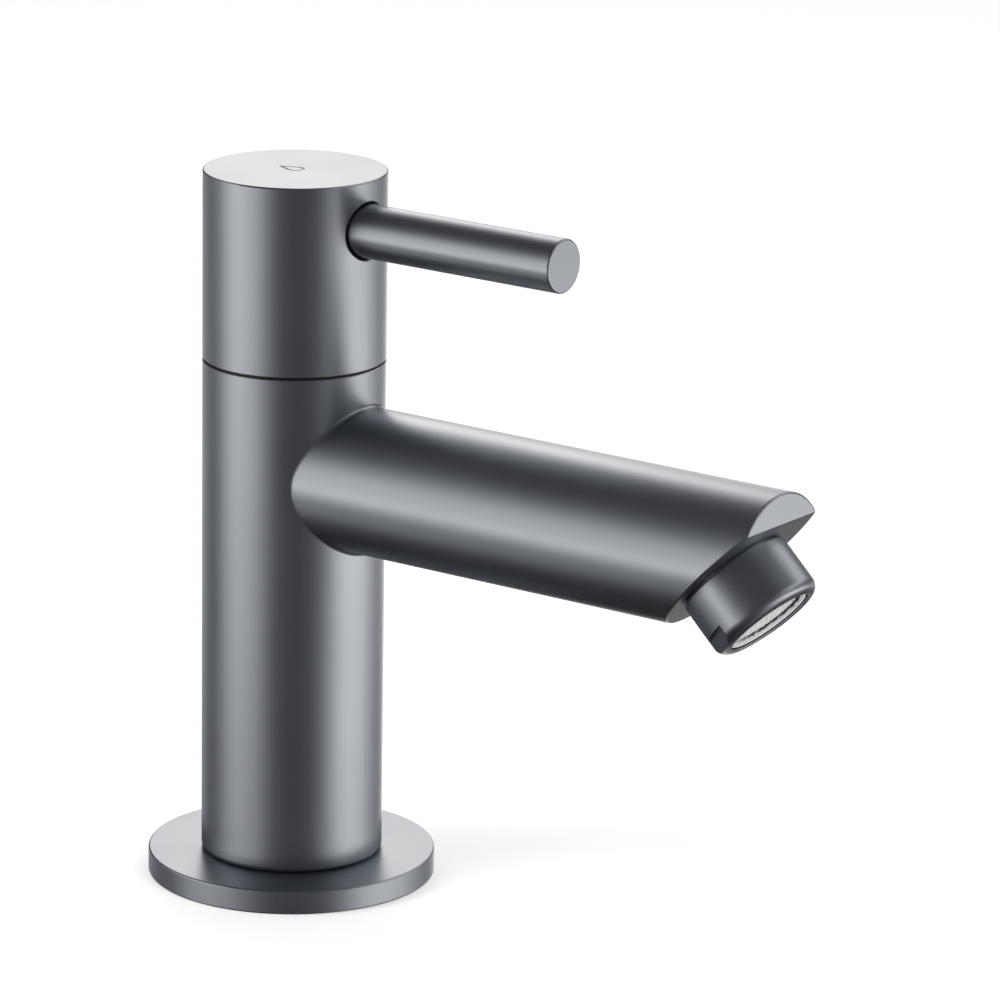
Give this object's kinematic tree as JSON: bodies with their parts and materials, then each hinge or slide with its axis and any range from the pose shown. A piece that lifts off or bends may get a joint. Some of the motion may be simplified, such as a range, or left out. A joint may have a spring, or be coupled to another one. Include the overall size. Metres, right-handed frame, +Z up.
{
  "type": "basin tap",
  "caption": "Small upright basin tap for one supply: a round column on a flange, a round spout cut at a slant with an angled aerator, and a turning cap with a rod lever.",
  "frame": {"origin": "on the column's axis at the basin's deck, which is the flange's underside", "axes": "+X along the spout, +Z up, +Y to the left seen from the back of the tap"},
  "size_m": [0.1297, 0.05, 0.125],
  "materials": {
    "gunmetal": "satin gunmetal-grey plating on brass",
    "raw_brass": "machined",
    "rubber": "matte",
    "silver": "bright",
    "steel_mesh": "bright",
    "white_plastic": "matte",
    "disc_ceramic": "lapped",
    "fastener_steel": "plain"
  },
  "bodies": {
    "tap_body": {"base_flange": "gunmetal", "deck_gasket": "rubber", "foot_plug": "raw_brass", "foot_o_ring": "rubber", "column": "gunmetal", "spout": "gunmetal", "aerator_housing": "gunmetal", "aerator_gasket": "rubber", "aerator_sleeve": "silver", "outlet_mesh": "steel_mesh", "inner_mesh": "steel_mesh", "jet_plate": "white_plastic", "inlet_strainer": "white_plastic", "seat_gasket": "rubber", "fixed_disc": "disc_ceramic", "headwork_body": "raw_brass", "headwork_o_ring": "rubber", "friction_washer": "white_plastic", "glide_ring": "white_plastic"},
    "handle": {"handle_cap": "gunmetal", "lever_rod": "gunmetal", "handle_hub": "gunmetal", "hub_screw": "fastener_steel", "spindle": "raw_brass", "spindle_clip": "fastener_steel", "spindle_o_ring_lower": "rubber", "spindle_o_ring_upper": "rubber", "moving_disc": "disc_ceramic"}
  },
  "joints": [
    {"name": "handle_turn", "type": "hinge", "parent": "tap_body", "child": "handle", "pos_m": [0, 0, 0], "axis": [0, 0, 1], "range_deg": [0, 90]}
  ]
}
